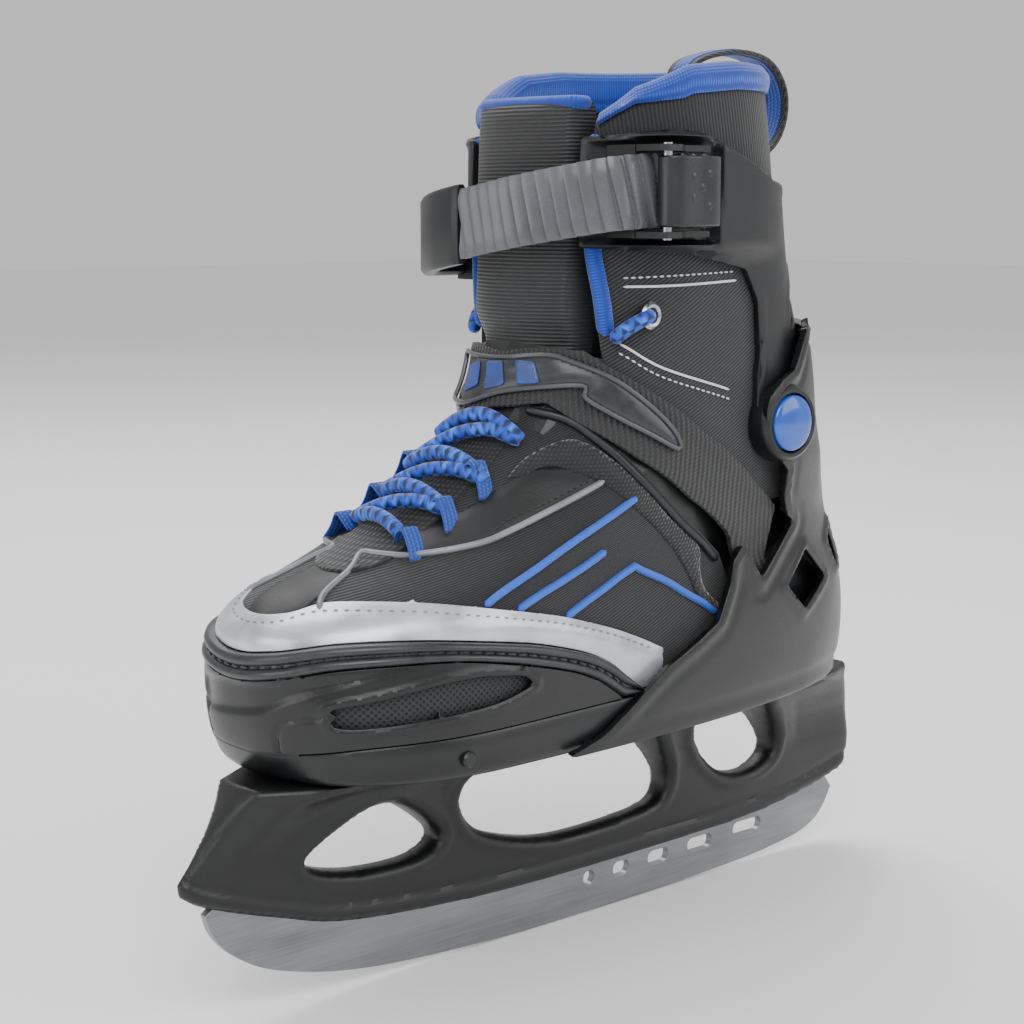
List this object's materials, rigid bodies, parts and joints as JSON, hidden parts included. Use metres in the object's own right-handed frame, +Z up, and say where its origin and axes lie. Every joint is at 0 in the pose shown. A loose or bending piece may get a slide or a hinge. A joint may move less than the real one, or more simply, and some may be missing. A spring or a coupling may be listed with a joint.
{
  "type": "size-adjustable ice skate",
  "caption": "Size-adjustable ice skate for the left foot: steel blade in a windowed holder, sliding toe shell, tilting cuff, ratchet ankle strap, instep strap and laced fabric boot.",
  "frame": {"origin": "where the steel rests on the ice, on the centre line, in the middle of the runner's flat stretch", "axes": "+X from toe to heel along the blade, +Y towards the inner side of the left foot, +Z up"},
  "size_m": [0.308, 0.1137, 0.3014],
  "materials": {
    "blade_steel": "brushed stainless steel",
    "holder_plastic": "moulded nylon, fine satin texture",
    "shell_plastic": "moulded polypropylene, satin",
    "cuff_plastic": "moulded polypropylene, matte",
    "zinc_hardware": "zinc plated steel",
    "sock_fabric": "black brushed lining",
    "twill_fabric": "dark grey melange twill",
    "tongue_fabric": "black fine ribbed satin",
    "webbing": "black ribbed webbing",
    "soft_rubber": "satin moulded rubber",
    "black_leather": "smooth black synthetic leather",
    "silver_trim": "pearl silver synthetic leather",
    "blue_cap": "glossy blue",
    "blue_cord": "round braided blue cord",
    "vent_mesh": "black mesh",
    "ladder_plastic": "grey satin moulded plastic"
  },
  "bodies": {
    "shell": {"blade": "blade_steel", "blade_holder": "holder_plastic", "holder_bolt_nose": "zinc_hardware", "holder_bolt_front": "zinc_hardware", "holder_bolt_rear": "zinc_hardware", "holder_bolt_heel": "zinc_hardware", "chassis": "shell_plastic", "heel_shell": "shell_plastic", "quarter": "sock_fabric", "footbed": "sock_fabric", "pivot_rivet_outer": "zinc_hardware", "pivot_cap_outer": "blue_cap", "pivot_rivet_inner": "zinc_hardware", "pivot_cap_inner": "blue_cap", "instep_strap": "webbing", "strap_badge": "soft_rubber"},
    "size_button": {"size_button": "zinc_hardware"},
    "toe": {"vamp": "twill_fabric", "toe_shell": "shell_plastic", "toe_sole": "holder_plastic", "toe_welt": "soft_rubber", "toe_cap": "silver_trim", "vent_mesh_outer": "vent_mesh", "vent_mesh_inner": "vent_mesh", "lace_panel_outer": "black_leather", "lace_panel_inner": "black_leather", "lace_loop_outer_1": "webbing", "lace_loop_outer_2": "webbing", "lace_loop_outer_3": "webbing", "lace_loop_inner_1": "webbing", "lace_loop_inner_2": "webbing", "lace_loop_inner_3": "webbing", "lower_lace": "blue_cord"},
    "cuff": {"cuff": "cuff_plastic", "collar": "twill_fabric", "tongue": "tongue_fabric", "pull_loop": "webbing", "strap_bracket": "soft_rubber", "bracket_screw": "zinc_hardware", "ladder_pin": "zinc_hardware", "buckle_base": "cuff_plastic", "buckle_screw_1": "zinc_hardware", "buckle_screw_2": "zinc_hardware", "lever_pin": "zinc_hardware", "eyelet_outer": "zinc_hardware", "eyelet_inner": "zinc_hardware", "upper_lace_outer": "blue_cord", "upper_lace_inner": "blue_cord"},
    "ladder": {"ladder_strap": "ladder_plastic"},
    "lever": {"buckle_lever": "ladder_plastic", "pawl_pin": "zinc_hardware"},
    "pawl": {"buckle_pawl": "zinc_hardware"}
  },
  "joints": [
    {"name": "toe_slide", "type": "slide", "parent": "shell", "child": "toe", "axis": [-1, 0, 0], "range_m": [0, 0.02]},
    {"name": "cuff_flex", "type": "hinge", "parent": "shell", "child": "cuff", "pos_m": [0.0555, 0, 0.174], "axis": [0, -1, 0], "range_deg": [-2, 6], "stiffness_Nm_per_rad": 25},
    {"name": "ladder_swing", "type": "hinge", "parent": "cuff", "child": "ladder", "pos_m": [-0.005, 0.04759, 0.2365], "axis": [0, 0, -1], "range_deg": [0, 100]},
    {"name": "lever_lift", "type": "hinge", "parent": "cuff", "child": "lever", "pos_m": [-0.0155, -0.05638, 0.252], "axis": [0, 0, -1], "range_deg": [0, 55], "stiffness_Nm_per_rad": 0.03},
    {"name": "pawl_rock", "type": "hinge", "parent": "lever", "child": "pawl", "pos_m": [-0.0065, -0.05618, 0.252], "axis": [0, 0, -1], "range_deg": [0, 12], "stiffness_Nm_per_rad": 0.01},
    {"name": "button_press", "type": "slide", "parent": "shell", "child": "size_button", "axis": [0, 1, 0], "range_m": [0, 0.003], "stiffness_N_per_m": 500}
  ]
}
